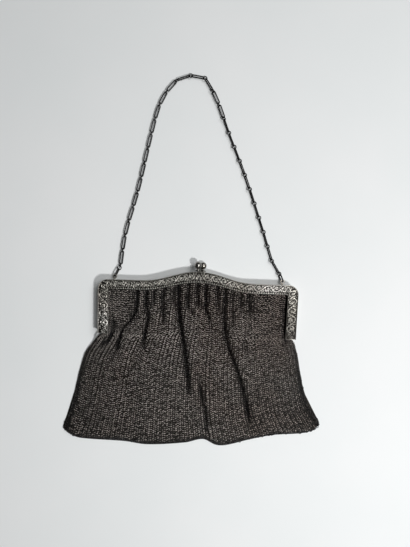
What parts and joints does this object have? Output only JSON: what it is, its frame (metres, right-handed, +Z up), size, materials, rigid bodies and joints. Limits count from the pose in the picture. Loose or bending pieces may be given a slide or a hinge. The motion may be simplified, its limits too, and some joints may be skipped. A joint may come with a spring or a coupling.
{
  "type": "metal mesh purse",
  "caption": "Flat metal mesh purse lying down, with an arched hinged clasp frame, a ball kiss-lock, a gathered mesh bag and a fine link chain laid in a loop.",
  "frame": {"origin": "on the outside of the back frame half, at the middle of its crest, in the plane that the purse lies on", "axes": "+X along the clasp frame towards its right end, +Y away from the bag towards the chain, +Z up from the surface, out of the front face"},
  "size_m": [0.1953, 0.2848, 0.01],
  "materials": {
    "frame_silver": "tarnished silver, bright on the raised ornament and nearly black in its recesses",
    "pin_metal": "dull worn metal",
    "knob_silver": "rubbed bright silver, dark where it meets the frame",
    "ring_mesh": "dark tarnished ring mesh with a warm brown cast and small bright specks",
    "chain_metal": "blackened metal wire with a satin shine"
  },
  "bodies": {
    "root": {"front_frame_half": "frame_silver", "back_frame_half": "frame_silver", "left_hinge_pin": "pin_metal", "right_hinge_pin": "pin_metal", "front_kiss_knob": "knob_silver", "back_kiss_knob": "knob_silver", "mesh_bag": "ring_mesh", "carrying_chain": "chain_metal"}
  },
  "joints": []
}
